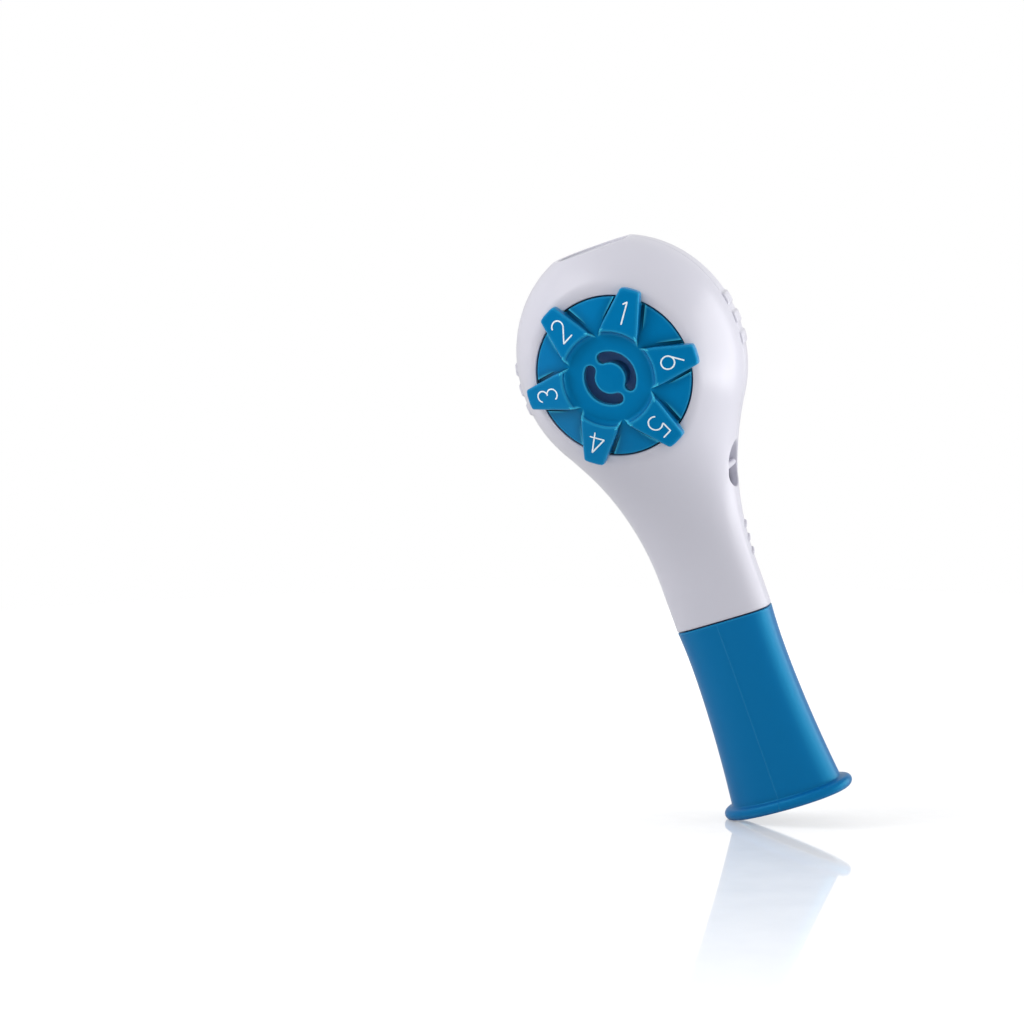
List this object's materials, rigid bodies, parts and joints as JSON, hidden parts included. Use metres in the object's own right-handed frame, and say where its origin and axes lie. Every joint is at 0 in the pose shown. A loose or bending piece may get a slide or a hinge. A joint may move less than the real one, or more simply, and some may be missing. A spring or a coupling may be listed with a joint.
{
  "type": "breathing trainer",
  "caption": "Hand-held breathing trainer: round white head with a numbered resistance dial on each face, oval neck, and a soft blue flared mouthpiece.",
  "frame": {"origin": "middle of the mouthpiece's face, on which the trainer stands upright", "axes": "+Z along the neck to the head, -Y out of the inhale dial, +Y out of the exhale dial, +X to the side with the lanyard eye"},
  "size_m": [0.0584, 0.0444, 0.1486],
  "materials": {
    "housing": "glossy off-white moulding",
    "dial": "satin blue moulding",
    "soft_sleeve": "soft blue silicone",
    "inner_plastic": "plain white moulding",
    "spring_steel": "bright",
    "seal_rubber": "matt black",
    "silicone": "milky"
  },
  "bodies": {
    "housing": {"front_shell": "housing", "rear_shell": "housing", "mouthpiece_spigot": "inner_plastic", "lanyard_bar": "housing", "inhale_port_seal": "seal_rubber", "inhale_detent_spring": "spring_steel", "inhale_valve_seat": "inner_plastic", "inhale_valve_flap": "silicone", "inhale_flap_pin": "inner_plastic", "exhale_port_seal": "seal_rubber", "exhale_detent_spring": "spring_steel", "exhale_valve_seat": "inner_plastic", "exhale_valve_flap": "silicone", "exhale_flap_pin": "inner_plastic"},
    "inhale_knob": {"inhale_dial": "dial", "inhale_metering_disc": "inner_plastic", "inhale_dial_clip": "spring_steel", "inhale_dial_washer": "inner_plastic"},
    "exhale_knob": {"exhale_dial": "dial", "exhale_metering_disc": "inner_plastic", "exhale_dial_clip": "spring_steel", "exhale_dial_washer": "inner_plastic"},
    "mouthpiece": {"mouthpiece_sleeve": "soft_sleeve"}
  },
  "joints": [
    {"name": "inhale_turn", "type": "hinge", "parent": "housing", "child": "inhale_knob", "pos_m": [0, 0, 0.1185], "axis": [0, -1, 0], "continuous": true},
    {"name": "exhale_turn", "type": "hinge", "parent": "housing", "child": "exhale_knob", "pos_m": [0, 0, 0.1185], "axis": [0, 1, 0], "continuous": true},
    {"name": "mouthpiece_pull", "type": "slide", "parent": "housing", "child": "mouthpiece", "axis": [0, 0, -1], "range_m": [0, 0.022]}
  ]
}
